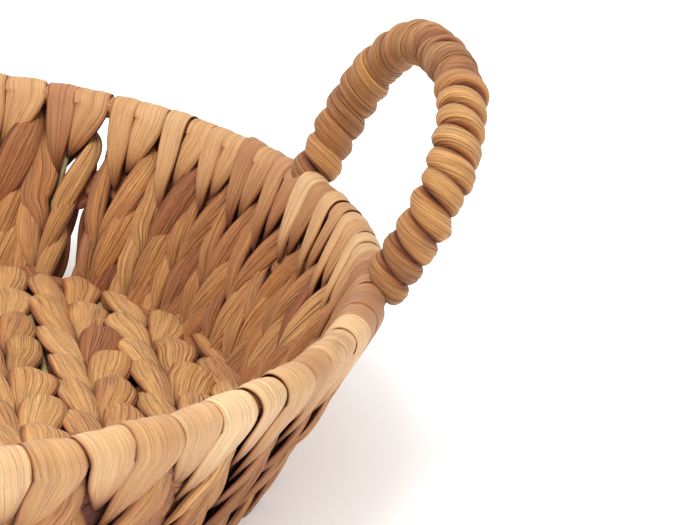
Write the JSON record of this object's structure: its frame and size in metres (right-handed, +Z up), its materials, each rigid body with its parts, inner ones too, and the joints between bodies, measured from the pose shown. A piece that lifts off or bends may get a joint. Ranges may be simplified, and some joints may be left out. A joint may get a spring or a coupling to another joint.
{
  "type": "woven wicker basket",
  "caption": "Round shallow basket woven from dried leaf strands over a wire frame, with outward-leaning walls, a rolled rim and a wrapped arch handle on each of two opposite sides",
  "frame": {"origin": "middle of the underside, on the surface the basket stands on", "axes": "+X towards one handle, +Y along the floor's braided rows, +Z up"},
  "size_m": [0.475, 0.4124, 0.1558],
  "materials": {
    "wall_leaf": "dried leaf strands, folded and braided, satin",
    "floor_leaf": "dried leaf strands, braided, satin",
    "rim_leaf": "dried leaf strands, smooth and taut",
    "handle_leaf": "dried leaf strands, wound and creased",
    "wire": "pale olive paint, semi-gloss"
  },
  "bodies": {
    "root": {"base_wire": "wire", "floor_braid_01": "floor_leaf", "floor_braid_02": "floor_leaf", "floor_braid_03": "floor_leaf", "floor_braid_04": "floor_leaf", "floor_braid_05": "floor_leaf", "floor_braid_06": "floor_leaf", "floor_braid_07": "floor_leaf", "floor_braid_08": "floor_leaf", "floor_braid_09": "floor_leaf", "floor_braid_10": "floor_leaf", "floor_braid_11": "floor_leaf", "floor_rib_01": "wire", "floor_rib_02": "wire", "floor_rib_03": "wire", "floor_rib_04": "wire", "floor_rib_05": "wire", "floor_rib_06": "wire", "floor_rib_07": "wire", "floor_rib_08": "wire", "floor_rib_09": "wire", "floor_rib_10": "wire", "handle_wire_left": "wire", "handle_wire_right": "wire", "handle_wrap_left": "handle_leaf", "handle_wrap_right": "handle_leaf", "rim_binding_01": "rim_leaf", "rim_binding_02": "rim_leaf", "rim_binding_03": "rim_leaf", "rim_binding_04": "rim_leaf", "rim_binding_05": "rim_leaf", "rim_binding_06": "rim_leaf", "rim_wire": "wire", "wall_braid_01": "wall_leaf", "wall_braid_02": "wall_leaf", "wall_braid_03": "wall_leaf", "wall_braid_04": "wall_leaf", "wall_braid_05": "wall_leaf", "wall_braid_06": "wall_leaf", "wall_braid_07": "wall_leaf", "wall_braid_08": "wall_leaf", "wall_braid_09": "wall_leaf", "wall_braid_10": "wall_leaf", "wall_braid_11": "wall_leaf", "wall_braid_12": "wall_leaf", "wall_stake_01": "wire", "wall_stake_02": "wire", "wall_stake_03": "wire", "wall_stake_04": "wire", "wall_stake_05": "wire", "wall_stake_06": "wire", "wall_stake_07": "wire", "wall_stake_08": "wire"}
  },
  "joints": []
}
